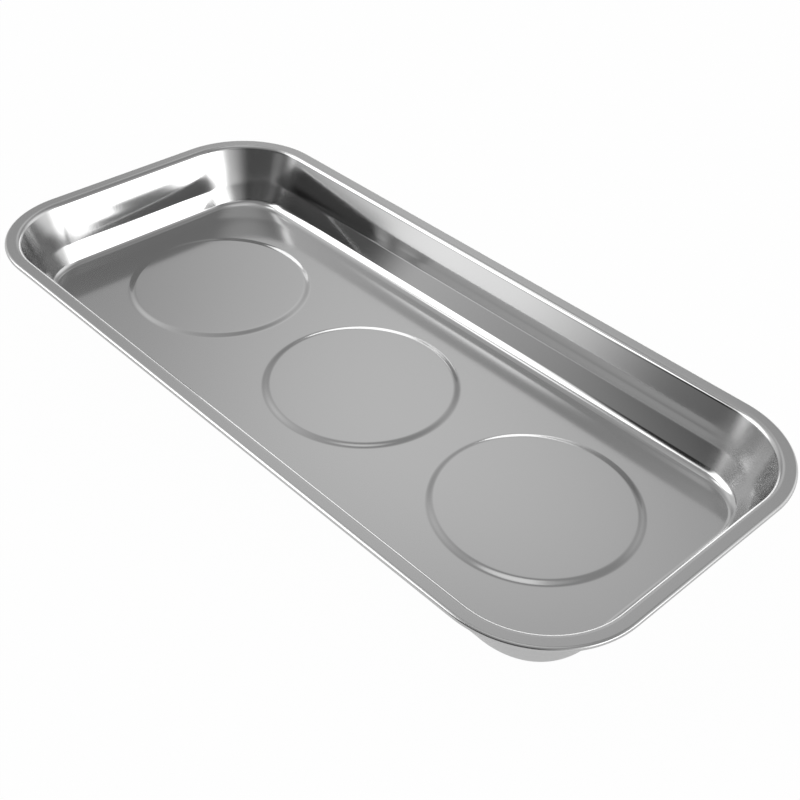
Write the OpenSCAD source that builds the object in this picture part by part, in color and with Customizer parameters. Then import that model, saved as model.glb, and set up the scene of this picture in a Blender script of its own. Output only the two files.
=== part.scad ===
// Long magnetic parts tray: a deep-drawn stainless pan with three raised discs in its floor
// and a rubber-booted ring magnet screwed up under each disc.
// All lengths are in mm. The boots stand on z = 0, and x runs along the length of the pan.

/* [Pan] */
// Overall length over the rolled rim
pan_length = 360; // [340:1:440]
// Overall width over the rolled rim
pan_width = 170; // [150:1:220]
// Inside depth from the top of the rim to the flat floor
pan_depth = 28.4; // [24:0.2:34]
// Plan radius of the rim at its outer corners
corner_radius = 43.5; // [36:0.5:52]
// Thickness of the stainless sheet
sheet = 0.6; // [0.5:0.05:0.75]

/* [Rim and wall] */
// Width of the rim from its outer edge to the line where it would meet the wall
rim_width = 6.7; // [6:0.1:8]
// Radius of the bend from the rim down into the wall
rim_bend = 2.6; // [2.1:0.1:3.1]
// Distance that the wall leans inwards between the rim and the floor
wall_run = 11; // [9:0.1:13]
// Inside radius where the wall runs into the floor
foot_bend = 6; // [5:0.1:7]
// Outside radius of the rolled hem along the edge of the rim
hem_radius = 1.2; // [1:0.05:1.4]
// Flat length of hem that is turned back under the rim
hem_return = 2.4; // [1.9:0.1:2.9]

/* [Raised discs] */
// Diameter of each raised disc at the foot of its step
disc_diameter = 88; // [84:0.5:92]
// Distance from the end of the rim to the centre of the disc nearest to it
end_space = 78; // [74:0.5:84]
// Least width of flat floor that is left between neighbouring discs
disc_gap = 6; // [4:0.5:8]
// Height of each disc above the floor
disc_rise = 0.65; // [0.5:0.05:0.8]
// Radial width of the step around each disc
disc_step = 4; // [3.2:0.1:4.8]

/* [Magnet] */
// Thickness of the ring magnet
magnet_height = 10; // [8.5:0.5:12]
// Diameter of the hole through the ring magnet
magnet_bore = 32; // [28:0.5:38]
// Chamfer along the edges of the ring magnet
magnet_chamfer = 0.6; // [0.4:0.05:0.8]

/* [Backing cup] */
// Thickness of the pressed steel cup
cup_sheet = 1.5; // [1.2:0.05:1.8]
// Height of the lip around the magnet above the cup's own plate
cup_lip = 3.5; // [2.8:0.1:4.2]
// Outside radius of the bend at the foot of the lip
cup_bend = 2; // [1.6:0.1:2.4]
// Height of the hub's underside above the underside of the plate
well_depth = 4.5; // [4.3:0.1:4.9]
// Radial space between the hub and the bore of the magnet
well_space = 2.5; // [2:0.1:3]

/* [Rubber boot] */
// Thickness of the boot's wall around the lip of the cup
boot_wall = 2.6; // [2.2:0.1:3]
// Thickness of the boot's sole
boot_sole = 2; // [1.7:0.1:2.4]
// Radius along the lower edge of the boot
boot_edge = 1.4; // [1.1:0.1:1.6]
// Radial space between the boot and the step of the pressed disc
pocket_space = 0.6; // [0.5:0.05:0.7]

/* [Fastening] */
// Thread diameter of the screw
screw_diameter = 5; // [4.8:0.1:5.2]
// Length of the screw under its head
screw_length = 8; // [7.2:0.1:8.6]
// Diameter of the screw head
head_diameter = 9.5; // [8.6:0.1:10.4]
// Height of the screw head
head_height = 3.7; // [3.2:0.1:3.9]
// Diameter of the flat washer
washer_diameter = 10.5; // [10:0.1:12]
// Thickness of the flat washer
washer_height = 1; // [0.8:0.05:1.2]
// Width of the spring washer's ring, measured radially
spring_width = 2; // [1.7:0.1:2.2]
// Thickness of the spring washer
spring_height = 1.2; // [1:0.05:1.4]
// Diameter of the weld boss
boss_diameter = 11; // [9.5:0.1:13]
// Diameter of the weld boss's flange
flange_diameter = 17; // [15:0.1:20]
// Thickness of the weld boss's flange
flange_height = 1.4; // [1.1:0.1:1.7]

/* [Fits] */
// Clearance between the threads of screw and boss, measured radially
thread_play = 0.05; // [0.03:0.01:0.1]
// Clearance around the screw in washers and hub, measured radially
screw_play = 0.2; // [0.15:0.01:0.3]
// Clearance between the magnet and what surrounds it
magnet_play = 0.2; // [0.1:0.01:0.3]
// Clearance between the boot and the cup's lip
boot_play = 0.1; // [0.05:0.01:0.2]

/* [Hidden] */
// Facets around full circles and along each bend or step
$fn = 96;
bend_facets = 10;
step_facets = 12;

// Amount by which a cut runs past the face it opens
overrun = 1;

// Details of screw and spring washer, as shares of the thread diameter
crown_share = 0.35;
recess_width_share = 0.24;
recess_length_share = 1.05;
recess_depth_share = 0.45;
tip_share = 0.14;
slit_share = 0.16;

crown_height = crown_share * screw_diameter;
recess_width = recess_width_share * screw_diameter;
recess_length = recess_length_share * screw_diameter;
recess_depth = recess_depth_share * screw_diameter;
tip_chamfer = tip_share * screw_diameter;
slit_width = slit_share * screw_diameter;

// Lean of the spring washer's slit from the upright, in degrees
slit_lean = 25;

// Levels, from the table upwards
plate_under = boot_sole;
plate_top = plate_under + cup_sheet;
lip_top = plate_top + cup_lip;
hub_under = plate_under + well_depth;
hub_top = hub_under + cup_sheet;
disc_under = plate_top + magnet_height;
floor_under = disc_under - disc_rise;
floor_top = floor_under + sheet;
floor_middle = floor_under + sheet / 2;
rim_top = floor_top + pan_depth;
washer_under = hub_under - washer_height;
spring_under = washer_under - spring_height;
head_under = spring_under - head_height;
screw_tip = spring_under + screw_length;

// Spacing of the discs, and radii of the magnet base from the disc inwards
disc_radius = disc_diameter / 2;
disc_pitch = max(disc_diameter + disc_gap, pan_length / 2 - end_space);
boot_radius = disc_radius - disc_step - pocket_space;
cup_radius = boot_radius - boot_wall - boot_play;
lip_radius = cup_radius - cup_sheet;
magnet_radius = lip_radius - magnet_play;
bore_radius = magnet_bore / 2;
hub_radius = bore_radius - well_space;
well_radius = hub_radius - cup_sheet;
shank_radius = screw_diameter / 2;
screw_hole = shank_radius + screw_play;
thread_hole = shank_radius + thread_play;
head_radius = head_diameter / 2;

// Section of rim, wall and floor, drawn outwards from the corner's centre line
corner_x = pan_length / 2 - corner_radius;
corner_y = pan_width / 2 - corner_radius;
wall_lean = atan(wall_run / pan_depth);
bend_reach = tan((90 - wall_lean) / 2);
foot_inset = rim_width + wall_run + foot_bend * bend_reach;
rim_inset = rim_width - rim_bend * bend_reach;
foot_centre = [corner_radius - foot_inset, floor_top + foot_bend];
rim_centre = [corner_radius - rim_inset, rim_top - rim_bend];
hem_centre = [corner_radius - hem_radius, rim_top - hem_radius];

// Points of an arc around a centre
function arc(centre, radius, from, to) = [
    for (k = [0 : bend_facets])
        let (angle = from + (to - from) * k / bend_facets)
        [centre[0] + radius * cos(angle), centre[1] + radius * sin(angle)]
];

// One face of the sheet from the floor to the end of the hem, at a depth below its upper face
function sheet_face(depth) = concat(
    [[0, floor_top - depth]],
    arc(foot_centre, foot_bend + depth, -90, -wall_lean),
    arc(rim_centre, rim_bend - depth, 180 - wall_lean, 90),
    arc(hem_centre, hem_radius - depth, 90, -90),
    [[hem_centre[0] - hem_return, hem_centre[1] - hem_radius + depth]]
);

function backwards(points) = [for (k = [len(points) - 1 : -1 : 0]) points[k]];

// Smooth step of a disc: half a cosine wave from the level at its foot up to the disc
function step_curve(level) = [
    for (k = [0 : step_facets])
        [
            disc_radius - disc_step * k / step_facets,
            level + disc_rise * (1 - cos(180 * k / step_facets)) / 2
        ]
];

module pan_section() {
    polygon(concat(sheet_face(0), backwards(sheet_face(sheet))));
}

// Straight run of the pan's section along y, with the section facing +x
module pan_side(run) {
    translate([0, run / 2, 0])
        rotate([90, 0, 0])
            linear_extrude(run)
                pan_section();
}

module pan_shell() {
    translate([-corner_x, -corner_y, floor_under])
        cube([2 * corner_x, 2 * corner_y, sheet]);
    for (turn = [0, 180])
        rotate([0, 0, turn]) {
            translate([corner_x, 0, 0])
                pan_side(2 * corner_y);
            translate([0, corner_y, 0])
                rotate([0, 0, 90])
                    pan_side(2 * corner_x);
            translate([corner_x, corner_y, 0])
                rotate_extrude(angle = 90)
                    pan_section();
            translate([-corner_x, corner_y, 0])
                rotate([0, 0, 90])
                    rotate_extrude(angle = 90)
                        pan_section();
        }
}

module disc_pad() {
    rotate_extrude()
        polygon(concat(
            [[0, floor_middle], [disc_radius, floor_middle]],
            step_curve(floor_top),
            [[0, floor_top + disc_rise]]
        ));
}

module disc_pocket() {
    rotate_extrude()
        polygon(concat(
            [[0, floor_under - overrun], [disc_radius, floor_under - overrun]],
            step_curve(floor_under),
            [[0, disc_under]]
        ));
}

module tray_pan() {
    color("silver")
        difference() {
            union() {
                pan_shell();
                for (side = [-1, 0, 1])
                    at_disc(side) disc_pad();
            }
            for (side = [-1, 0, 1])
                at_disc(side) disc_pocket();
        }
}

// Place of a magnet base: -1 is left, 0 the middle and 1 right
module at_disc(side) {
    translate([side * disc_pitch, 0, 0])
        children();
}

module weld_boss() {
    color("gainsboro")
        rotate_extrude()
            polygon([
                [thread_hole, hub_top],
                [boss_diameter / 2, hub_top],
                [boss_diameter / 2, disc_under - flange_height],
                [flange_diameter / 2, disc_under - flange_height],
                [flange_diameter / 2, disc_under],
                [thread_hole, disc_under]
            ]);
}

module ring_magnet() {
    color("dimgray")
        rotate_extrude()
            polygon([
                [bore_radius + magnet_chamfer, plate_top],
                [magnet_radius - magnet_chamfer, plate_top],
                [magnet_radius, plate_top + magnet_chamfer],
                [magnet_radius, disc_under - magnet_chamfer],
                [magnet_radius - magnet_chamfer, disc_under],
                [bore_radius + magnet_chamfer, disc_under],
                [bore_radius, disc_under - magnet_chamfer],
                [bore_radius, plate_top + magnet_chamfer]
            ]);
}

module backing_cup() {
    color("lightsteelblue")
        rotate_extrude()
            polygon(concat(
                [[well_radius, plate_under]],
                arc([cup_radius - cup_bend, plate_under + cup_bend], cup_bend, -90, 0),
                [
                    [cup_radius, lip_top],
                    [lip_radius, lip_top],
                    [lip_radius, plate_top],
                    [hub_radius, plate_top],
                    [hub_radius, hub_top],
                    [screw_hole, hub_top],
                    [screw_hole, hub_under],
                    [well_radius, hub_under]
                ]
            ));
}

module rubber_boot() {
    color("black")
        rotate_extrude()
            polygon(concat(
                [[hub_radius, 0]],
                arc([boot_radius - boot_edge, boot_edge], boot_edge, -90, 0),
                [
                    [boot_radius, disc_under],
                    [magnet_radius + magnet_play, disc_under],
                    [magnet_radius + magnet_play, lip_top + boot_play],
                    [cup_radius + boot_play, lip_top + boot_play],
                    [cup_radius + boot_play, plate_under],
                    [hub_radius, plate_under]
                ]
            ));
}

module flat_washer() {
    color("gainsboro")
        rotate_extrude()
            polygon([
                [screw_hole, washer_under],
                [washer_diameter / 2, washer_under],
                [washer_diameter / 2, hub_under],
                [screw_hole, hub_under]
            ]);
}

module spring_washer() {
    color("gainsboro")
        difference() {
            rotate_extrude()
                translate([screw_hole, spring_under])
                    square([spring_width, spring_height]);
            translate([screw_hole + spring_width / 2, 0, spring_under + spring_height / 2])
                rotate([slit_lean, 0, 0])
                    cube([2 * spring_width, slit_width, 2 * spring_height], center = true);
        }
}

// Lower face of the screw head: a quarter of an ellipse from the axis out to its edge
function crown_curve() = [
    for (k = [0 : bend_facets])
        let (angle = 90 * k / bend_facets)
        [head_radius * sin(angle), head_under + crown_height * (1 - cos(angle))]
];

module screw() {
    color("gainsboro")
        difference() {
            rotate_extrude()
                polygon(concat(
                    crown_curve(),
                    [
                        [head_radius, spring_under],
                        [shank_radius, spring_under],
                        [shank_radius, screw_tip - tip_chamfer],
                        [shank_radius - tip_chamfer, screw_tip],
                        [0, screw_tip]
                    ]
                ));
            for (turn = [0, 90])
                rotate([0, 0, turn])
                    translate([-recess_length / 2, -recess_width / 2, head_under - overrun])
                        cube([recess_length, recess_width, recess_depth + overrun]);
        }
}

module weld_boss_left() { at_disc(-1) weld_boss(); }
module weld_boss_middle() { at_disc(0) weld_boss(); }
module weld_boss_right() { at_disc(1) weld_boss(); }
module ring_magnet_left() { at_disc(-1) ring_magnet(); }
module ring_magnet_middle() { at_disc(0) ring_magnet(); }
module ring_magnet_right() { at_disc(1) ring_magnet(); }
module backing_cup_left() { at_disc(-1) backing_cup(); }
module backing_cup_middle() { at_disc(0) backing_cup(); }
module backing_cup_right() { at_disc(1) backing_cup(); }
module rubber_boot_left() { at_disc(-1) rubber_boot(); }
module rubber_boot_middle() { at_disc(0) rubber_boot(); }
module rubber_boot_right() { at_disc(1) rubber_boot(); }
module flat_washer_left() { at_disc(-1) flat_washer(); }
module flat_washer_middle() { at_disc(0) flat_washer(); }
module flat_washer_right() { at_disc(1) flat_washer(); }
module spring_washer_left() { at_disc(-1) spring_washer(); }
module spring_washer_middle() { at_disc(0) spring_washer(); }
module spring_washer_right() { at_disc(1) spring_washer(); }
module screw_left() { at_disc(-1) screw(); }
module screw_middle() { at_disc(0) screw(); }
module screw_right() { at_disc(1) screw(); }

tray_pan();
weld_boss_left();
weld_boss_middle();
weld_boss_right();
ring_magnet_left();
ring_magnet_middle();
ring_magnet_right();
backing_cup_left();
backing_cup_middle();
backing_cup_right();
rubber_boot_left();
rubber_boot_middle();
rubber_boot_right();
flat_washer_left();
flat_washer_middle();
flat_washer_right();
spring_washer_left();
spring_washer_middle();
spring_washer_right();
screw_left();
screw_middle();
screw_right();
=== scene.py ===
"""Studio scene of a long magnetic parts tray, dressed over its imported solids."""

import logging
import math
from dataclasses import dataclass
from enum import Enum
from functools import cache

import bpy
import numpy as np
from mathutils import Matrix


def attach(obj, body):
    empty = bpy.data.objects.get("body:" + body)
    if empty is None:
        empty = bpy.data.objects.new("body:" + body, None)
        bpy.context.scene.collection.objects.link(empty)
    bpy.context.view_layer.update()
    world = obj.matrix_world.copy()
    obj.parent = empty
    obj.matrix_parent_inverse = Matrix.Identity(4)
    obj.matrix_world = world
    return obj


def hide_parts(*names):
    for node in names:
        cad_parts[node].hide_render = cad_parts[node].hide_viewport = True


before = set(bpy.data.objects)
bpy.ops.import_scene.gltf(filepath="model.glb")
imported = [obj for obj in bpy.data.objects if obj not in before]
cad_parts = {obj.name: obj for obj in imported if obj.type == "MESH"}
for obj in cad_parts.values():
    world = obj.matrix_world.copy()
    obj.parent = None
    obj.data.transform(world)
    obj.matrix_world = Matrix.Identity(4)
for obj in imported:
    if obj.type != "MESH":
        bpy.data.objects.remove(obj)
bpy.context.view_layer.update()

LOG = logging.getLogger("tray")
BODY = "root"
# One millimetre in metres, and the distance under which two points count as one
MM = 0.001
WELD = 1e-7
# Distance between the middles of neighbouring discs
DISC_PITCH = 102 * MM
# Range that most values of a noise texture fall in, and the share that each finer layer keeps
NOISE_LOW, NOISE_HIGH = 0.3, 0.7
NOISE_ROUGHNESS = 0.6
Array = np.ndarray
Socket = bpy.types.NodeSocket


class Side(Enum):
    """Place of a magnet base along the tray, as a multiple of the disc pitch."""

    LEFT = -1
    MIDDLE = 0
    RIGHT = 1

    @property
    def word(self) -> str:
        """Word that ends the names of this base's nodes."""
        return self.name.lower()


# Colours and material nodes


def linear(hex_colour: str) -> tuple[float, float, float, float]:
    """Turns an sRGB hex colour into linear light.

    Args:
        hex_colour: Six hex digits, such as "c8c8c4".

    Returns:
        Red, green, blue and an alpha of 1.
    """
    srgb = np.array([int(hex_colour[k : k + 2], 16) for k in (0, 2, 4)]) / 255
    low, high = srgb / 12.92, ((srgb + 0.055) / 1.055) ** 2.4
    red, green, blue = np.where(srgb <= 0.04045, low, high)
    return float(red), float(green), float(blue), 1.0


def add_node(
    tree: bpy.types.NodeTree, kind: str, links: dict | None = None, **settings: object
) -> bpy.types.Node:
    """Adds one node with its settings and links.

    Args:
        tree: Node tree that takes the node.
        kind: Blender's name of the node type.
        links: Input name or number to a socket that feeds it, or to a plain value.
        settings: Attributes of the node, such as operation="MULTIPLY".

    Returns:
        The new node.
    """
    node = tree.nodes.new(kind)
    for name, value in settings.items():
        setattr(node, name, value)
    for key, value in (links or {}).items():
        if isinstance(value, Socket):
            tree.links.new(value, node.inputs[key])
        else:
            node.inputs[key].default_value = value
    return node


def new_material(name: str) -> tuple[bpy.types.Material, bpy.types.NodeTree]:
    """Makes an empty node material.

    Args:
        name: Name of the material.

    Returns:
        The material and its node tree, which holds only the output.
    """
    material = bpy.data.materials.new(name)
    material.use_nodes = True
    tree = material.node_tree
    tree.nodes.clear()
    tree.nodes.new("ShaderNodeOutputMaterial")
    return material, tree


def finish_material(tree: bpy.types.NodeTree, shader: bpy.types.Node) -> None:
    """Links a shader node to the material's output.

    Args:
        tree: Node tree of the material.
        shader: Node whose first output is the shader.
    """
    output = next(n for n in tree.nodes if n.type == "OUTPUT_MATERIAL")
    tree.links.new(shader.outputs[0], output.inputs["Surface"])


# Finishes


@dataclass(frozen=True)
class StainlessSheet:
    """Cold-rolled stainless steel after deep drawing and polishing.

    The floor and the rim keep the satin of the rolled sheet. The wall, which slid over the die, is bright
    enough to mirror what stands opposite, with faint upright draw lines.
    """

    colour: str = "d0d0d0"
    floor_roughness: float = 0.11
    wall_roughness: float = 0.06
    rim_roughness: float = 0.22
    corner_roughness: float = 0.2
    # Distances from the middle, along and across, where a corner's dull finish starts and is full
    corner_from: tuple[float, float] = (127 * MM, 34 * MM)
    corner_full: tuple[float, float] = (141 * MM, 47 * MM)
    # Heights between which one finish gives way to the next
    satin_below: float = 14.65 * MM
    bright_above: float = 16.35 * MM
    bright_below: float = 41.25 * MM
    satin_above: float = 41.75 * MM
    # Coarser than the real grain, which is too fine to show
    grain: float = 0.9 * MM
    grain_detail: float = 3.0
    draw_line: float = 30 * MM
    grain_depth: float = 0.0016 * MM
    spread: float = 0.05

    def material(self) -> bpy.types.Material:
        """Grey metal whose roughness follows the height, with a grain drawn out upwards on the wall."""
        material, tree = new_material("drawn_stainless_steel")
        place = add_node(tree, "ShaderNodeTexCoord").outputs["Object"]
        along, across, height = add_node(tree, "ShaderNodeSeparateXYZ", {"Vector": place}).outputs
        # The corners, where drawing squeezed the sheet, are duller than the straight walls
        wall: Socket | float = self.corner_roughness - self.wall_roughness
        for way, first, full in zip((along, across), self.corner_from, self.corner_full):
            away = add_node(tree, "ShaderNodeMath", {0: way}, operation="ABSOLUTE")
            share = add_node(tree, "ShaderNodeMapRange", {
                "Value": away.outputs[0], "From Min": first, "From Max": full,
            }, interpolation_type="SMOOTHSTEP")
            wall = add_node(tree, "ShaderNodeMath", {
                0: share.outputs[0], 1: wall,
            }, operation="MULTIPLY").outputs[0]
        wall = add_node(tree, "ShaderNodeMath", {
            0: wall, 1: self.wall_roughness,
        }, operation="ADD").outputs[0]
        # The floor's satin gives way to the bright wall on the bend at its foot
        low = add_node(tree, "ShaderNodeMapRange", {
            "Value": height, "From Min": self.satin_below, "From Max": self.bright_above,
            "To Min": self.floor_roughness, "To Max": wall,
        })
        high = add_node(tree, "ShaderNodeMapRange", {
            "Value": height, "From Min": self.bright_below, "From Max": self.satin_above,
            "To Min": low.outputs[0], "To Max": self.rim_roughness,
        })
        # Grains of the sheet on flat faces, lines along the draw on the wall
        stretch = (1, 1, self.grain / self.draw_line)
        drawn = add_node(tree, "ShaderNodeMapping", {"Vector": place, "Scale": stretch})
        grain = add_node(tree, "ShaderNodeTexNoise", {
            "Vector": drawn.outputs[0], "Scale": 1 / self.grain,
            "Detail": self.grain_detail, "Roughness": NOISE_ROUGHNESS,
        })
        uneven = add_node(tree, "ShaderNodeMapRange", {
            "Value": grain.outputs[0], "From Min": NOISE_LOW, "From Max": NOISE_HIGH,
            "To Min": 1 - self.spread, "To Max": 1 + self.spread,
        })
        rough = add_node(tree, "ShaderNodeMath", {
            0: high.outputs[0], 1: uneven.outputs[0],
        }, operation="MULTIPLY")
        bump = add_node(tree, "ShaderNodeBump", {
            "Height": grain.outputs[0], "Distance": self.grain_depth,
        })
        finish_material(tree, add_node(tree, "ShaderNodeBsdfPrincipled", {
            "Base Color": linear(self.colour), "Metallic": 1.0,
            "Roughness": rough.outputs[0], "Normal": bump.outputs[0],
        }))
        return material


@dataclass(frozen=True)
class MottledFinish:
    """A finish of one colour that small noise makes uneven in tone, gloss and height.

    Used for zinc plating, moulded rubber and sintered ferrite, which differ in these numbers alone. The
    grains are drawn coarser than the real ones, so that they show.
    """

    name: str
    light: str
    dark: str
    metallic: float
    roughness: tuple[float, float]
    grain: float
    grain_depth: float
    grain_detail: float = 4.0

    def material(self) -> bpy.types.Material:
        """Mixes the two colours and the two roughness values by a noise that also lifts the surface."""
        material, tree = new_material(self.name)
        place = add_node(tree, "ShaderNodeTexCoord").outputs["Object"]
        noise = add_node(tree, "ShaderNodeTexNoise", {
            "Vector": place, "Scale": 1 / self.grain,
            "Detail": self.grain_detail, "Roughness": NOISE_ROUGHNESS,
        })
        share = add_node(tree, "ShaderNodeMapRange", {
            "Value": noise.outputs[0], "From Min": NOISE_LOW, "From Max": NOISE_HIGH,
        })
        colour = add_node(tree, "ShaderNodeMix", {
            "Factor": share.outputs[0], 6: linear(self.dark), 7: linear(self.light),
        }, data_type="RGBA")
        rough = add_node(tree, "ShaderNodeMapRange", {
            "Value": share.outputs[0], "To Min": self.roughness[0], "To Max": self.roughness[1],
        })
        bump = add_node(tree, "ShaderNodeBump", {
            "Height": noise.outputs[0], "Distance": self.grain_depth,
        })
        finish_material(tree, add_node(tree, "ShaderNodeBsdfPrincipled", {
            "Base Color": colour.outputs[2], "Metallic": self.metallic,
            "Roughness": rough.outputs[0], "Normal": bump.outputs[0],
        }))
        return material


class Finish(Enum):
    """Finishes of the magnet bases."""

    # Bright zinc plating: bluish white with a faint bloom
    ZINC_STEEL = MottledFinish(
        "zinc_plated_steel", light="cfd3d8", dark="bfc3c9", metallic=1.0,
        roughness=(0.24, 0.34), grain=1.6 * MM, grain_depth=0.002 * MM,
    )
    # Sintered ferrite: charcoal grey and matt, with a fine ground grain
    FERRITE = MottledFinish(
        "sintered_ferrite", light="4a4a4d", dark="37373a", metallic=0.0,
        roughness=(0.62, 0.78), grain=0.5 * MM, grain_depth=0.01 * MM,
    )
    # Moulded rubber: nearly black with a soft sheen and the fine grain of the mould
    BLACK_RUBBER = MottledFinish(
        "moulded_black_rubber", light="252526", dark="19191a", metallic=0.0,
        roughness=(0.52, 0.7), grain=0.4 * MM, grain_depth=0.015 * MM,
    )

    @property
    def slot(self) -> str:
        """The finish's name in lower case."""
        return self.name.lower()


@cache
def dressing(finish: Finish) -> bpy.types.Material:
    """Makes a finish's material once and gives the same one after that."""
    return finish.value.material()


# Meshes from whole arrays


def grid_faces(rows: int, columns: int, wrap_rows: bool = False, wrap_columns: bool = False) -> Array:
    """Numbers the four-sided faces of a grid of points stored row by row.

    Args:
        rows: Count of rows.
        columns: Count of columns.
        wrap_rows: Joins the last row to the first.
        wrap_columns: Joins the last column to the first.

    Returns:
        One row of four point numbers per face.
    """
    i = np.arange(rows if wrap_rows else rows - 1)[:, None]
    j = np.arange(columns if wrap_columns else columns - 1)[None, :]
    i2, j2 = (i + 1) % rows, (j + 1) % columns
    corners = [i * columns + j, i * columns + j2, i2 * columns + j2, i2 * columns + j]
    return np.stack(corners, axis=-1).reshape(-1, 4)


def weld(points: Array, faces: Array) -> tuple[Array, Array]:
    """Joins points that lie in one place, so that seams and poles close.

    Args:
        points: Points, one per row.
        faces: Faces of four point numbers.

    Returns:
        The joined points and the faces renumbered to them.
    """
    places = np.round(points / WELD).astype(np.int64)
    _, first, back = np.unique(places, axis=0, return_index=True, return_inverse=True)
    return points[first], back.reshape(-1)[faces]


def mesh_object(name: str, points: Array, faces: Array) -> bpy.types.Object:
    """Puts arrays of points and four-sided faces into a smooth-shaded object.

    A face whose neighbouring corners were welded together becomes a triangle, and one that is left with
    fewer than three corners is dropped.

    Args:
        name: Name of the object and its mesh.
        points: Points in metres, one per row.
        faces: Faces of four point numbers, anticlockwise from outside.

    Returns:
        The new object, at the origin.
    """
    points, faces = weld(points, faces)
    keep = faces != np.roll(faces, 1, axis=1)
    sound = keep.sum(axis=1) >= 3
    faces, keep = faces[sound], keep[sound]
    sizes = keep.sum(axis=1)
    corners = faces[keep]
    mesh = bpy.data.meshes.new(name)
    mesh.vertices.add(len(points))
    mesh.vertices.foreach_set("co", points.astype(np.float32).ravel())
    mesh.loops.add(len(corners))
    mesh.loops.foreach_set("vertex_index", corners.astype(np.int32))
    mesh.polygons.add(len(sizes))
    starts = np.concatenate([[0], np.cumsum(sizes)[:-1]])
    mesh.polygons.foreach_set("loop_start", starts.astype(np.int32))
    mesh.polygons.foreach_set("use_smooth", np.ones(len(sizes), dtype=bool))
    mesh.update(calc_edges=True)
    mesh.validate()
    piece = bpy.data.objects.new(name, mesh)
    bpy.context.scene.collection.objects.link(piece)
    return piece


def stand_in(piece: bpy.types.Object, node: str) -> bpy.types.Object:
    """Puts a finished piece on the body in the place of its solid.

    Args:
        piece: The finished piece.
        node: Solid that the piece replaces.

    Returns:
        The same piece.
    """
    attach(piece, BODY)
    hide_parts(node)
    return piece


def shares(steps: int) -> Array:
    """Even shares of the way along a bend, without its start."""
    return np.linspace(0, 1, steps + 1)[1:]


def rounded(corners: Array, radii: Array, steps: int = 6, edge: float = 0.05 * MM) -> Array:
    """Closed outline with rounded corners.

    At a corner the arc's centre lies on the bisector, radius over the sine of half the angle away, and the
    arc starts and ends radius over the tangent of half the angle along the two sides. One more point close
    to each end of the arc keeps the sides beside it flat.

    Args:
        corners: Corners of the outline, one per row.
        radii: Radius at each corner.
        steps: Steps along each arc.
        edge: Distance of the extra points from the ends of the arc.

    Returns:
        Points of the outline in the same order.
    """
    back, ahead = np.roll(corners, 1, axis=0) - corners, np.roll(corners, -1, axis=0) - corners
    back, ahead = (v / np.linalg.norm(v, axis=1, keepdims=True) for v in (back, ahead))
    half = np.arccos(np.clip((back * ahead).sum(axis=1), -1, 1)) / 2
    reach = (radii / np.tan(half))[:, None]
    bisector = (back + ahead) / np.linalg.norm(back + ahead, axis=1, keepdims=True)
    centre = corners + bisector * (radii / np.sin(half))[:, None]
    first, last = corners + back * reach - centre, corners + ahead * reach - centre
    start = np.arctan2(first[:, 1], first[:, 0])
    sweep = np.arctan2(last[:, 1], last[:, 0]) - start
    sweep = (sweep + np.pi) % (2 * np.pi) - np.pi
    angle = start[:, None] + sweep[:, None] * np.linspace(0, 1, steps + 1)
    turn = np.stack([np.cos(angle), np.sin(angle)], axis=-1)
    arcs = centre[:, None] + radii[:, None, None] * turn
    before, after = corners + back * (reach + edge), corners + ahead * (reach + edge)
    return np.concatenate([before[:, None], arcs, after[:, None]], axis=1).reshape(-1, 2)


def revolved(outline: Array, angles: Array, x: float) -> Array:
    """Carries an outline round an upright axis.

    A point goes to its distance times the cosine and the sine of the angle, and keeps its height.

    Args:
        outline: Distances from the axis and heights, one pair per row.
        angles: Angles round the axis in radians.
        x: Place of the axis along the tray.

    Returns:
        Points as outline by angles by three.
    """
    distance, height = outline[:, :1], outline[:, 1:]
    around = [x + distance * np.cos(angles), distance * np.sin(angles), height + 0 * angles]
    return np.stack(around, axis=-1)


def turned_ring(name: str, outline: Array, x: float, steps: int) -> bpy.types.Object:
    """Makes a ring by carrying a closed outline once round its axis.

    Args:
        name: Name of the object.
        outline: Closed outline, anticlockwise with the axis at its left.
        x: Place of the axis along the tray.
        steps: Steps round the axis.

    Returns:
        The ring.
    """
    points = revolved(outline, np.linspace(0, 2 * np.pi, steps, endpoint=False), x)
    return mesh_object(name, points.reshape(-1, 3), grid_faces(len(outline), steps, True, True))


# The pan


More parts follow.
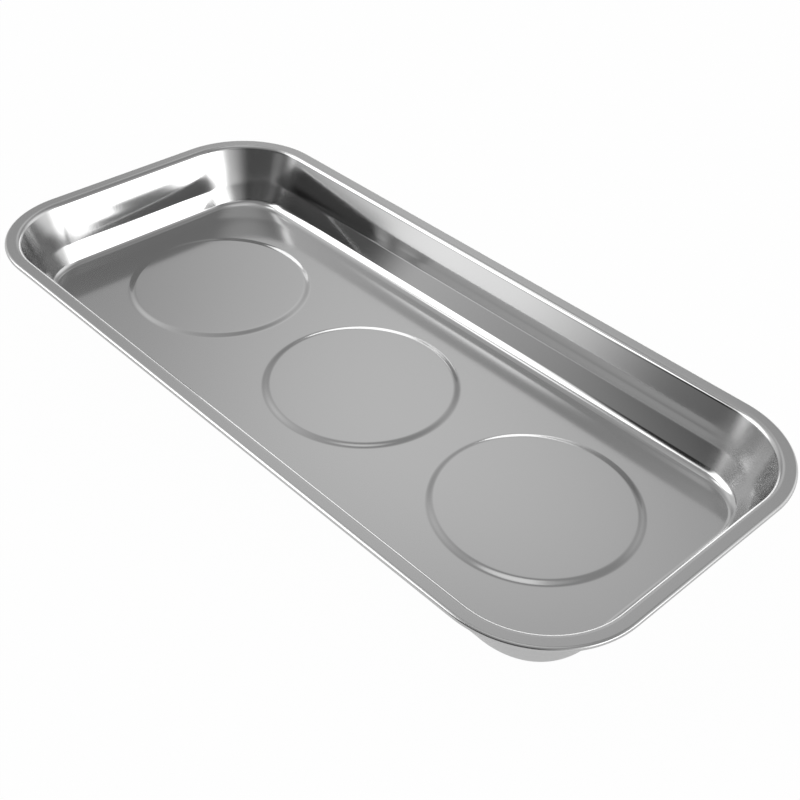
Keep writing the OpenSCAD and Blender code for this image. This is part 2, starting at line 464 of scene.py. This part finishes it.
@dataclass(frozen=True)
class TrayPan:
    """Deep-drawn stainless pan: floor with raised discs, leaning wall, rim and rolled hem.

    Leans are in degrees from upright. Names with end are those of the two short walls.
    """

    length: float = 360 * MM
    width: float = 170 * MM
    depth: float = 28.4 * MM
    corner: float = 43.5 * MM
    sheet: float = 0.6 * MM
    rim_width: float = 6.7 * MM
    rim_bend: float = 2.6 * MM
    wall_lean: float = 21.2
    lower_lean: float = 27
    crease_lean: float = 18.3
    upper_lean: float = 22.2
    crease_height: float = 11 * MM
    end_crease_height: float = 8.6 * MM
    crease_bend: float = 8 * MM
    corner_crease_bend: float = 40 * MM
    wall_curl: float = 100 * MM
    end_wall_curl: float = 160 * MM
    foot_bend: float = 6 * MM
    end_foot_bend: float = 3.2 * MM
    corner_share: float = 0.55
    hem_radius: float = 1.2 * MM
    hem_return: float = 2.4 * MM
    disc_radius: float = 44 * MM
    disc_pitch: float = DISC_PITCH
    disc_rise: float = 0.65 * MM
    disc_step: float = 4 * MM
    floor_top: float = 13.45 * MM
    end_steps: int = 30
    wing_steps: int = 30
    middle_steps: int = 36
    corner_steps: int = 32
    seam_steps: int = 44
    foot_points: int = 12
    crease_points: int = 5
    curl_points: int = 6
    rim_points: int = 8
    hem_points: int = 12
    run_shares: tuple[float, ...] = (0.03, 0.35, 0.65, 0.97, 1)
    disc_rings: int = 8
    step_rings: int = 18
    step_margin: float = 0.15 * MM
    outer_rings: int = 11
    last_ring: float = 0.99

    @property
    def centre_x(self) -> float:
        """Half the distance along x between the corners' centre lines."""
        return self.length / 2 - self.corner

    @property
    def centre_y(self) -> float:
        """Half the distance along y between the corners' centre lines."""
        return self.width / 2 - self.corner

    def path(self) -> tuple[Array, Array]:
        """Walks round the pan on the rounded rectangle of the corners' centre lines.

        On a side the base point slides along the side and the outward direction stays; at a corner the base
        point stays and the outward direction turns by 90 degrees.

        Returns:
            Base points and outward directions, one per row, anticlockwise from above.
        """
        x, y, seam = self.centre_x, self.centre_y, self.disc_pitch / 2
        stops = [
            ((x, -y), (x, y), 0, 0, self.end_steps),
            ((x, y), (x, y), 0, 90, self.corner_steps),
            ((x, y), (seam, y), 90, 90, self.wing_steps),
            ((seam, y), (-seam, y), 90, 90, self.middle_steps),
            ((-seam, y), (-x, y), 90, 90, self.wing_steps),
            ((-x, y), (-x, y), 90, 180, self.corner_steps),
            ((-x, y), (-x, -y), 180, 180, self.end_steps),
            ((-x, -y), (-x, -y), 180, 270, self.corner_steps),
            ((-x, -y), (-seam, -y), 270, 270, self.wing_steps),
            ((-seam, -y), (seam, -y), 270, 270, self.middle_steps),
            ((seam, -y), (x, -y), 270, 270, self.wing_steps),
            ((x, -y), (x, -y), 270, 360, self.corner_steps),
        ]
        bases, angles = [], []
        for start, end, turn_from, turn_to, steps in stops:
            t = np.arange(steps)[:, None] / steps
            bases.append(np.array(start) + (np.array(end) - np.array(start)) * t)
            angles.append(turn_from + (turn_to - turn_from) * t[:, 0])
        angle = np.radians(np.concatenate(angles))
        return np.concatenate(bases), np.stack([np.cos(angle), np.sin(angle)], axis=1)

    def moves(self, outward: Array) -> list[tuple[Array, Array, Array]]:
        """Runs and bends of the section, from the floor up the wall, over the rim and round the hem.

        The wall leans out from the foot, stands up at a crease a third of the way up and curls out again
        below the rim. Towards the corners, by the square of the sine of twice the outward angle, each lean
        goes part of the way to one plain lean. Towards the ends, by the square of the outward direction's x,
        the foot gets tighter, the crease lower and the curl wider. A bend's rise is its radius times the
        difference of the cosines of its two slopes, and the straight upper run takes up what is left of the
        depth.

        Args:
            outward: Outward directions, one per step of the path.

        Returns:
            Length, turn in radians and shares of the points along each move.
        """
        end = outward[:, :1] ** 2
        corner = (2 * outward[:, :1] * outward[:, 1:]) ** 2
        foot_bend = self.foot_bend + (self.end_foot_bend - self.foot_bend) * end
        crease_height = self.crease_height + (self.end_crease_height - self.crease_height) * end
        crease_bend = self.crease_bend + (self.corner_crease_bend - self.crease_bend) * corner
        wall_curl = self.wall_curl + (self.end_wall_curl - self.wall_curl) * end
        plain = self.corner_share * corner
        leans = (self.lower_lean, self.crease_lean, self.upper_lean)
        low, mid, high = (np.radians(90 - lean - (self.wall_lean - lean) * plain) for lean in leans)
        foot_rise = foot_bend * (1 - np.cos(low))
        crease_rise = crease_bend * (np.cos(low) - np.cos(mid))
        curl_rise = wall_curl * (np.cos(high) - np.cos(mid))
        rim_rise = self.rim_bend * (1 - np.cos(high))
        lower = (crease_height - foot_rise) / np.sin(low)
        upper = (self.depth - crease_height - crease_rise - curl_rise - rim_rise) / np.sin(high)
        rim = self.rim_width - self.rim_bend * np.tan(high / 2) - self.hem_radius
        along = np.array(self.run_shares)
        none = 0 * end
        return [
            (foot_bend * low, low, shares(self.foot_points)),
            (lower, none, along),
            (crease_bend * (mid - low), mid - low, shares(self.crease_points)),
            (wall_curl * (mid - high), high - mid, shares(self.curl_points)),
            (upper, none, along),
            (self.rim_bend * high, -high, shares(self.rim_points)),
            (rim, none, along),
            (np.pi * self.hem_radius + none, -np.pi + none, shares(self.hem_points)),
            (self.hem_return + none, none, along),
        ]

    def faces(self, outward: Array) -> tuple[Array, Array]:
        """Upper and lower face of the sheet at each step of the path, from the floor to the end of the hem.

        A move that turns evenly ends where its chord does: the chord heads half way between the first and
        the last slope, and its length is the move's times the sine of half the turn over half the turn. The
        lower face lies one sheet thickness square to the upper one.

        Args:
            outward: Outward directions, one per step of the path.

        Returns:
            Points of each face as steps by points by two: distance from the corners' centre lines, and
            height.
        """
        slope = 0 * outward[:, :1]
        ends, slopes = [np.concatenate([slope, slope + self.floor_top], axis=1)[:, None]], [slope]
        for length, turn, share in self.moves(outward):
            half = turn * share / 2
            chord = length * share * np.sinc(half / np.pi)
            heading = slopes[-1][:, -1:] + half
            step = np.stack([chord * np.cos(heading), chord * np.sin(heading)], axis=-1)
            ends.append(ends[-1][:, -1:] + step)
            slopes.append(heading + half)
        upper, slope = np.concatenate(ends, axis=1), np.concatenate(slopes, axis=1)
        upper[..., 0] += self.corner - upper[..., 0].max(axis=1, keepdims=True)
        lower = upper + self.sheet * np.stack([np.sin(slope), -np.cos(slope)], axis=-1)
        return upper, lower

    def height(self, x: Array, y: Array) -> Array:
        """Height of the floor's upper face.

        Half a cosine wave lifts the floor from the foot of each disc's step to the disc.

        Args:
            x: Places along the tray.
            y: Places across it.

        Returns:
            Heights, in the shape of x.
        """
        nearest = np.clip(np.round(x / self.disc_pitch), -1, 1) * self.disc_pitch
        away = np.hypot(x - nearest, y)
        share = np.clip((self.disc_radius - away) / self.disc_step, 0, 1)
        return self.floor_top + self.disc_rise * (1 - np.cos(np.pi * share)) / 2

    def floor_cell(self, side: Side, rim: Array) -> Array:
        """Grid of floor points around one disc.

        Straight rays run from the disc's centre to the points of the cell's rim. Along each ray the first
        rings are circles about the centre, close together on the step, and the rest share out what is left.

        Args:
            side: Disc in the middle of the cell.
            rim: Points round the edge of the cell, anticlockwise.

        Returns:
            Points as rings by rays by three.
        """
        centre = np.array([side.value * self.disc_pitch, 0.0])
        away = rim - centre
        far = np.hypot(away[:, 0], away[:, 1])
        flat = self.disc_radius - self.disc_step
        inner, outer = flat - self.step_margin, self.disc_radius + self.step_margin
        step = np.linspace(inner, outer, self.step_rings)
        circles = np.concatenate([np.linspace(0, flat, self.disc_rings)[:-1], step])
        out = np.concatenate([np.linspace(0, 1, self.outer_rings)[1:-1], [self.last_ring, 1]])
        near = np.broadcast_to(circles[:, None], (len(circles), len(far)))
        rest = step[-1] + (far - step[-1])[None, :] * out[:, None]
        distance = np.concatenate([near, rest])
        flat_points = centre + distance[..., None] * (away / far[:, None])[None]
        z = self.height(flat_points[..., 0], flat_points[..., 1])
        return np.concatenate([flat_points, z[..., None]], axis=-1)

    def cell_rims(self, ring: Array) -> dict[Side, Array]:
        """Splits the floor's edge into the edges of three cells, with seams half way between discs.

        Args:
            ring: Edge of the floor, one point per step of the path.

        Returns:
            The points round each cell, anticlockwise.
        """
        up = self.end_steps + self.corner_steps + self.wing_steps
        down = len(ring) - self.corner_steps - self.wing_steps
        left_up, left_down = up + self.middle_steps, down - self.middle_steps
        t = np.linspace(0, 1, self.seam_steps + 1)[1:-1, None]
        right_seam = ring[up] + (ring[down] - ring[up]) * t
        left_seam = ring[left_up] + (ring[left_down] - ring[left_up]) * t
        above, below = ring[up : left_up + 1], ring[left_down : down + 1]
        return {
            Side.RIGHT: np.concatenate([ring[down:], ring[: up + 1], right_seam]),
            Side.MIDDLE: np.concatenate([above, left_seam, below, right_seam[::-1]]),
            Side.LEFT: np.concatenate([ring[left_up : left_down + 1], left_seam[::-1]]),
        }

    def build(self) -> bpy.types.Object:
        """Carries the section round the path, fills in the floor's two faces and makes one closed mesh.

        Returns:
            The pan.
        """
        base, outward = self.path()
        upper, lower = self.faces(outward)
        section = np.concatenate([upper, lower[:, ::-1]], axis=1)
        flat = base[:, None] + section[..., :1] * outward[:, None]
        skin = np.concatenate([flat, section[..., 1:]], axis=-1)
        points, faces = [skin.reshape(-1, 3)], [grid_faces(*section.shape[:2], wrap_rows=True)]
        count = len(points[0])
        ring = flat[:, 0]
        for side, rim in self.cell_rims(ring).items():
            cell = self.floor_cell(side, rim)
            quads = grid_faces(*cell.shape[:2], wrap_columns=True)
            for drop, order in ((0.0, slice(None, None, -1)), (self.sheet, slice(None))):
                points.append(cell.reshape(-1, 3) - np.array([0, 0, drop]))
                faces.append(quads[:, order] + count)
                count += len(points[-1])
        return mesh_object("stainless_pan", np.concatenate(points), np.concatenate(faces))

    def dress(self) -> bpy.types.Object:
        """Builds the pan, gives it its finish and puts it in the place of its solid.

        Returns:
            The dressed pan.
        """
        pan = self.build()
        pan.data.materials.append(StainlessSheet().material())
        return stand_in(pan, "tray_pan")


# The magnet bases


@dataclass(frozen=True)
class MagnetBase:
    """One magnet base: rubber boot, backing cup, ring magnet, weld boss, two washers and a screw."""

    side: Side
    pitch: float = DISC_PITCH
    boot_radius: float = 39.4 * MM
    boot_sole: float = 2 * MM
    boot_edge: float = 1.4 * MM
    boot_hole_edge: float = 0.5 * MM
    boot_top_edge: float = 0.3 * MM
    boot_inner_edge: float = 0.2 * MM
    boot_top: float = 13.5 * MM
    boot_steps: int = 160
    cup_radius: float = 36.7 * MM
    cup_sheet: float = 1.5 * MM
    cup_bend: float = 2 * MM
    cup_steps: int = 128
    lip_top: float = 7 * MM
    lip_edge: float = 0.2 * MM
    lip_bend: float = 0.4 * MM
    hub_under: float = 6.5 * MM
    hub_radius: float = 13.5 * MM
    hub_bend: float = 0.7 * MM
    hub_foot_bend: float = 0.5 * MM
    well_bend: float = 0.6 * MM
    play: float = 0.1 * MM
    screw_hole: float = 2.7 * MM
    screw_hole_edge: float = 0.1 * MM
    washer_radius: float = 5.25 * MM
    washer_height: float = 1 * MM
    washer_edge: float = 0.18 * MM
    washer_hole_edge: float = 0.12 * MM
    washer_steps: int = 96
    spring_width: float = 2 * MM
    spring_height: float = 1.2 * MM
    spring_edge: float = 0.15 * MM
    slit: float = 0.8 * MM
    slit_lean: float = 25
    head_radius: float = 4.75 * MM
    head_height: float = 3.7 * MM
    head_chamfer: float = 0.2 * MM
    head_steps: int = 88
    crown: float = 1.75 * MM
    shank_radius: float = 2.5 * MM
    shank_length: float = 8 * MM
    tip: float = 0.7 * MM
    recess_width: float = 1.2 * MM
    recess_length: float = 5.25 * MM
    recess_depth: float = 2.25 * MM
    recess_flank: float = 0.3 * MM

    @property
    def x(self) -> float:
        """Place of the base along the tray."""
        return self.side.value * self.pitch

    @property
    def washer_under(self) -> float:
        """Height of the flat washer's underside."""
        return self.hub_under - self.washer_height

    @property
    def spring_under(self) -> float:
        """Height of the spring washer's underside, which rests on the screw head."""
        return self.washer_under - self.spring_height

    def node(self, word: str) -> str:
        """Name of one of this base's solids or pieces: a word for what it is, and the base's place."""
        return f"{word}_{self.side.word}"

    def boot(self) -> bpy.types.Object:
        """Turned section of the boot: sole, outer wall and the shoulder over the cup's lip."""
        inside, shoulder = self.cup_radius + self.play, self.cup_radius - self.cup_sheet
        over_lip, edge = self.lip_top + self.play, self.boot_inner_edge
        corners = [
            (self.hub_radius, 0, self.boot_hole_edge),
            (self.boot_radius, 0, self.boot_edge),
            (self.boot_radius, self.boot_top, self.boot_top_edge),
            (shoulder, self.boot_top, edge),
            (shoulder, over_lip, edge),
            (inside, over_lip, edge),
            (inside, self.boot_sole, edge),
            (self.hub_radius, self.boot_sole, self.boot_hole_edge),
        ]
        return self.turned("boot", corners, self.boot_steps)

    def cup(self) -> bpy.types.Object:
        """Turned section of the pressed cup: plate, lip around the magnet, and the hub in its middle."""
        plate, sheet = self.boot_sole, self.cup_sheet
        lip, well, hub_top = self.cup_radius - sheet, self.hub_radius - sheet, self.hub_under + sheet
        corners = [
            (well, plate, self.hub_bend),
            (self.cup_radius, plate, self.cup_bend),
            (self.cup_radius, self.lip_top, self.lip_edge),
            (lip, self.lip_top, self.lip_edge),
            (lip, plate + sheet, self.lip_bend),
            (self.hub_radius, plate + sheet, self.hub_foot_bend),
            (self.hub_radius, hub_top, self.hub_bend),
            (self.screw_hole, hub_top, self.screw_hole_edge),
            (self.screw_hole, self.hub_under, self.screw_hole_edge),
            (well, self.hub_under, self.well_bend),
        ]
        return self.turned("cup", corners, self.cup_steps)

    def flat_washer(self) -> bpy.types.Object:
        """Turned section of the flat washer, with stamped edges."""
        corners = [
            (self.screw_hole, self.washer_under, self.washer_hole_edge),
            (self.washer_radius, self.washer_under, self.washer_edge),
            (self.washer_radius, self.hub_under, self.washer_edge),
            (self.screw_hole, self.hub_under, self.washer_hole_edge),
        ]
        return self.turned("plain_washer", corners, self.washer_steps)

    def turned(
        self, word: str, corners: list[tuple[float, float, float]], steps: int
    ) -> bpy.types.Object:
        """Turns an outline with rounded corners into a ring of this base.

        Args:
            word: What the ring is.
            corners: Distance from the axis, height and radius of each corner, anticlockwise.
            steps: Steps round the axis.

        Returns:
            The ring.
        """
        table = np.array(corners)
        return turned_ring(self.node(word), rounded(table[:, :2], table[:, 2]), self.x, steps)

    def spring_washer(self) -> bpy.types.Object:
        """Split ring: a rounded section carried round the axis from one face of the slit to the other.

        The angle where the ring starts grows with height by the lean of the slit, and the ring ends as far
        before the full turn. Rings of points shrunk to the section's middle close the two faces.

        Returns:
            The spring washer.
        """
        steps, low, high = self.washer_steps, self.spring_under, self.washer_under
        inner, outer = self.screw_hole, self.screw_hole + self.spring_width
        corners = np.array([(inner, low), (outer, low), (outer, high), (inner, high)])
        section = rounded(corners, np.full(len(corners), self.spring_edge))
        middle = section.mean(axis=0)
        rise = (section[:, 1] - middle[1]) * math.tan(math.radians(self.slit_lean))
        start, end = ((rise + sign * self.slit / 2) / section[:, 0] for sign in (1, -1))
        turn = np.linspace(0, 1, steps + 1)[:, None]
        angle = start + (2 * np.pi + end - start) * turn
        shrink = np.ones((steps + 3, 1, 1))
        shrink[[0, -1]] = 0
        rings = middle + (section - middle) * shrink
        angle = np.concatenate([angle[:1], angle, angle[-1:]])
        angle[[0, -1]] = angle[[0, -1]].mean(axis=1, keepdims=True)
        away, height = rings[..., 0], rings[..., 1]
        points = np.stack([self.x + away * np.cos(angle), away * np.sin(angle), height], axis=-1)
        faces = grid_faces(steps + 3, len(section), wrap_columns=True)[:, ::-1]
        return mesh_object(self.node("split_washer"), points.reshape(-1, 3), faces)

    def head_face(self, x: Array, y: Array) -> Array:
        """Height of the screw head's lower face.

        A quarter ellipse gives the crown. The cross recess is sunk where a point lies inside one of two
        bars, and its flanks follow a smooth step of the distance from the nearest edge of the cross.

        Args:
            x: Places from the screw's axis along one bar.
            y: Places along the other bar.

        Returns:
            Heights, in the shape of x.
        """
        share = np.clip(np.hypot(x, y) / self.head_radius, 0, 1)
        crown = self.spring_under - self.head_height + self.crown * (1 - np.sqrt(1 - share**2))
        length, width = self.recess_length / 2, self.recess_width / 2
        across = np.maximum(np.abs(x) - length, np.abs(y) - width)
        down = np.maximum(np.abs(x) - width, np.abs(y) - length)
        t = np.clip(-np.minimum(across, down) / self.recess_flank, 0, 1)
        floor = self.spring_under - self.head_height + self.recess_depth
        return crown + np.maximum(floor - crown, 0) * t * t * (3 - 2 * t)

    def screw(self) -> bpy.types.Object:
        """Pan-head screw: a square grid bent to a disc for the head's face, and a turned side and shank.

        A point of the square at u and v goes to u times the root of 1 - v * v / 2 and v times the root of
        1 - u * u / 2, which keeps the grid's lines straight near the cross and bends its edge to a circle.

        Returns:
            The screw.
        """
        steps = self.head_steps
        u, v = np.meshgrid(*2 * [np.linspace(-1, 1, steps + 1)], indexing="ij")
        x = self.head_radius * u * np.sqrt(1 - v**2 / 2)
        y = self.head_radius * v * np.sqrt(1 - u**2 / 2)
        face = np.stack([self.x + x, y, self.head_face(x, y)], axis=-1)
        u, v = np.concatenate([
            np.stack([u[:-1, 0], v[:-1, 0]]), np.stack([u[-1, :-1], v[-1, :-1]]),
            np.stack([u[:0:-1, -1], v[:0:-1, -1]]), np.stack([u[0, :0:-1], v[0, :0:-1]]),
        ], axis=1)
        angles = np.arctan2(v * np.sqrt(1 - u**2 / 2), u * np.sqrt(1 - v**2 / 2))
        seat, end = self.spring_under, self.spring_under + self.shank_length
        side = np.array([
            (self.head_radius, seat - self.head_height + self.crown),
            (self.head_radius, seat - self.head_chamfer),
            (self.head_radius - self.head_chamfer, seat),
            (self.shank_radius, seat),
            (self.shank_radius, end - self.tip),
            (self.shank_radius - self.tip, end),
            (0, end),
        ])
        around = revolved(side, angles, self.x)
        points = np.concatenate([face.reshape(-1, 3), around.reshape(-1, 3)])
        side_faces = grid_faces(len(side), len(angles), wrap_columns=True) + face[..., 0].size
        faces = np.concatenate([grid_faces(steps + 1, steps + 1), side_faces])
        return mesh_object(self.node("pan_head_screw"), points, faces)

    def dress(self) -> list[bpy.types.Object]:
        """Builds the base's visible pieces, and gives these and its hidden solids their finishes.

        Returns:
            The pieces that stand in for solids.
        """
        made = [
            (self.boot(), "rubber_boot", Finish.BLACK_RUBBER),
            (self.cup(), "backing_cup", Finish.ZINC_STEEL),
            (self.flat_washer(), "flat_washer", Finish.ZINC_STEEL),
            (self.spring_washer(), "spring_washer", Finish.ZINC_STEEL),
            (self.screw(), "screw", Finish.ZINC_STEEL),
        ]
        for piece, word, finish in made:
            piece.data.materials.append(dressing(finish))
            stand_in(piece, self.node(word))
        for word, finish in (("ring_magnet", Finish.FERRITE), ("weld_boss", Finish.ZINC_STEEL)):
            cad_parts[self.node(word)].material_slots[0].material = dressing(finish)
        return [piece for piece, _, _ in made]


# The studio


@dataclass(frozen=True)
class SoftBox:
    """Even patch of the studio, by angles in degrees: azimuth from +Y towards +X, and elevation.

    Its level is the light that a lamp adds, or the share of light that a shade takes away.
    """

    azimuth: tuple[float, float]
    elevation: tuple[float, float]
    soft: tuple[float, float]
    level: float

    def patch(self, tree: bpy.types.NodeTree, turn: Socket, tilt: Socket) -> Socket:
        """Adds the nodes of this patch: its level inside, nought outside, and a smooth step at each edge.

        Args:
            tree: Node tree of the world.
            turn: Azimuth of the ray in radians.
            tilt: Elevation of the ray in radians.

        Returns:
            The patch's level in the ray's direction.
        """
        level: Socket | float = self.level
        spans = zip((turn, tilt), (self.azimuth, self.elevation), self.soft)
        for angle, edges, soft in spans:
            for edge, sign in zip(edges, (1, -1)):
                first, last = (math.radians(edge + sign * way * soft / 2) for way in (-1, 1))
                step = add_node(tree, "ShaderNodeMapRange", {
                    "Value": angle, "From Min": first, "From Max": last,
                }, interpolation_type="SMOOTHSTEP").outputs[0]
                level = add_node(tree, "ShaderNodeMath", {
                    0: step, 1: level,
                }, operation="MULTIPLY").outputs[0]
        return level


@dataclass(frozen=True)
class Studio:
    """Pale floor, soft light and the camera at the photograph's angle, with angles in degrees."""

    position: tuple[float, float, float] = (313.711 * MM, -293.527 * MM, 347.519 * MM)
    azimuth: float = 44.611
    elevation: float = 38.554
    roll: float = 3.044
    focal_mm: float = 55.733
    sensor_mm: float = 36.0
    clip: tuple[float, float] = (0.01, 100)
    floor_reach: float = 30.0
    floor_colour: str = "f6f6f6"
    floor_glow: float = 0.98
    mirror_glow: float = 0.4
    room: float = 0.09
    boxes: tuple[SoftBox, ...] = (
        # Ceiling, brightest overhead, with a dim panel on the left and a lighter one behind the tray
        SoftBox((-400, 400), (40, 100), (1, 17), 0.23),
        SoftBox((-400, 400), (70, 100), (1, 14), 0.3),
        SoftBox((-130, -60), (44, 68), (40, 24), 0.17),
        SoftBox((-72, -22), (67.2, 78), (16, 4.5), 0.38),
        # Pale wall on the left with a bright window in it, and a light sill below the window
        SoftBox((-150, -73), (-5, 48), (34, 29), 0.64),
        SoftBox((-150, -108), (14, 48.5), (9, 4), 1.9),
        SoftBox((-120, -100), (52, 61), (6, 5), 1.2),
        SoftBox((-152.6, -140.5), (-3, 7), (9, 4), 0.68),
        # Pale wall behind, brightest in its middle, and the white sweep below it
        SoftBox((-60, -20), (3, 51), (38, 22), 0.38),
        SoftBox((-62, -34), (24, 42), (30, 14), 0.22),
        SoftBox((-66, -14), (-5, 10.5), (24, 8), 1.5),
        # Bright window on the right, the wall that it brightens, and its dim side towards the camera
        SoftBox((50, 95), (3, 22), (17, 11), 2.6),
        SoftBox((-5, 55), (-8, 40), (45, 30), 1.0),
        SoftBox((82, 122), (-9, 40), (34, 30), 0.72),
        # Dim wall behind the camera
        SoftBox((-200, -164), (-5, 14), (8, 10), 0.2),
    )
    shades: tuple[SoftBox, ...] = (
        # Dark stand in front of the right window, and a dark post beside the sill
        SoftBox((58.6, 61.2), (-4, 7), (1.2, 1.2), 0.93),
        SoftBox((60.9, 64), (-4, 9.6), (0.8, 1.2), 0.93),
        SoftBox((63.8, 65.3), (-4, 6.5), (0.8, 1.5), 0.9),
        SoftBox((-142.3, -128), (7, 13.5), (2.5, 2.5), 0.85),
        SoftBox((-141.8, -125), (-6, 3.3), (1.6, 0.7), 0.65),
        # Dark gap beside the left window, and a dark shelf on the right
        SoftBox((-163, -153), (12.5, 36), (4, 5), 0.85),
        SoftBox((105, 145), (18.3, 27), (4, 3), 0.75),
    )

    def camera(self) -> None:
        """Sets up the camera from its place and its three angles."""
        turn, tilt, roll = (math.radians(v) for v in (self.azimuth, self.elevation, self.roll))
        flat = math.cos(tilt)
        back = np.array([math.sin(turn) * flat, -math.cos(turn) * flat, math.sin(tilt)])
        level = np.array([math.cos(turn), math.sin(turn), 0.0])
        upright = np.cross(back, level)
        right = math.cos(roll) * level + math.sin(roll) * upright
        up = np.cross(back, right)
        lens = bpy.data.cameras.new("photo_camera")
        lens.sensor_width, lens.lens = self.sensor_mm, self.focal_mm
        lens.clip_start, lens.clip_end = self.clip
        camera = bpy.data.objects.new("photo_camera", lens)
        axes = Matrix(np.stack([right, up, back], axis=1).tolist()).to_4x4()
        axes.translation = self.position
        camera.matrix_world = axes
        bpy.context.scene.collection.objects.link(camera)
        bpy.context.scene.camera = camera

    def floor(self) -> None:
        """Lays a pale floor under the tray.

        The camera and the steel see it lightened towards white, so that the tray's shadow stays faint.
        """
        corner = np.array([[-1, -1, 0], [1, -1, 0], [1, 1, 0], [-1, 1, 0]]) * self.floor_reach
        floor = mesh_object("studio_floor", corner, np.array([[0, 1, 2, 3]]))
        material, tree = new_material("pale_studio_floor")
        pale = add_node(tree, "ShaderNodeBsdfDiffuse", {"Color": linear(self.floor_colour)})
        white = add_node(tree, "ShaderNodeEmission", {"Strength": 1.0})
        path = add_node(tree, "ShaderNodeLightPath").outputs
        mirrored = add_node(tree, "ShaderNodeMath", {
            0: path["Is Glossy Ray"], 1: path["Is Transmission Ray"],
        }, operation="MAXIMUM")
        mirrored = add_node(tree, "ShaderNodeMath", {
            0: mirrored.outputs[0], 1: self.mirror_glow,
        }, operation="MULTIPLY")
        seen = add_node(tree, "ShaderNodeMath", {
            0: path["Is Camera Ray"], 1: self.floor_glow,
        }, operation="MULTIPLY")
        share = add_node(tree, "ShaderNodeMath", {
            0: seen.outputs[0], 1: mirrored.outputs[0],
        }, operation="MAXIMUM")
        finish_material(tree, add_node(tree, "ShaderNodeMixShader", {
            0: share.outputs[0], 1: pale.outputs[0], 2: white.outputs[0],
        }))
        floor.data.materials.append(material)

    def light(self) -> None:
        """Lights the tray from a soft studio all round it.

        The light of a direction is the sum of the soft boxes there over a dim room, less the shares that
        the shades in front of them take away.
        """
        world = bpy.data.worlds.new("soft_studio")
        bpy.context.scene.world = world
        world.use_nodes = True
        tree = world.node_tree
        tree.nodes.clear()
        ray = add_node(tree, "ShaderNodeTexCoord").outputs["Generated"]
        x, y, z = add_node(tree, "ShaderNodeSeparateXYZ", {"Vector": ray}).outputs
        turn = add_node(tree, "ShaderNodeMath", {0: x, 1: y}, operation="ARCTAN2").outputs[0]
        tilt = add_node(tree, "ShaderNodeMath", {0: z}, operation="ARCSINE").outputs[0]
        total: Socket | float = self.room
        for box in self.boxes:
            total = add_node(tree, "ShaderNodeMath", {
                0: box.patch(tree, turn, tilt), 1: total,
            }, operation="ADD").outputs[0]
        for shade in self.shades:
            rest = add_node(tree, "ShaderNodeMath", {
                0: 1.0, 1: shade.patch(tree, turn, tilt),
            }, operation="SUBTRACT").outputs[0]
            total = add_node(tree, "ShaderNodeMath", {
                0: rest, 1: total,
            }, operation="MULTIPLY").outputs[0]
        background = add_node(tree, "ShaderNodeBackground", {"Color": total})
        output = add_node(tree, "ShaderNodeOutputWorld", {"Surface": background.outputs[0]})
        output.is_active_output = True


def main() -> None:
    """Builds the tray's pieces in order, dresses them and sets up the studio."""
    logging.basicConfig(level=logging.INFO)
    pan = TrayPan().dress()
    LOG.info("%s: %d faces", pan.name, len(pan.data.polygons))
    for side in Side:
        for piece in MagnetBase(side).dress():
            LOG.info("%s: %d faces", piece.name, len(piece.data.polygons))
    studio = Studio()
    studio.floor()
    studio.light()
    studio.camera()
    bpy.context.scene.view_settings.view_transform = "Standard"


if __name__ == "__main__":
    main()
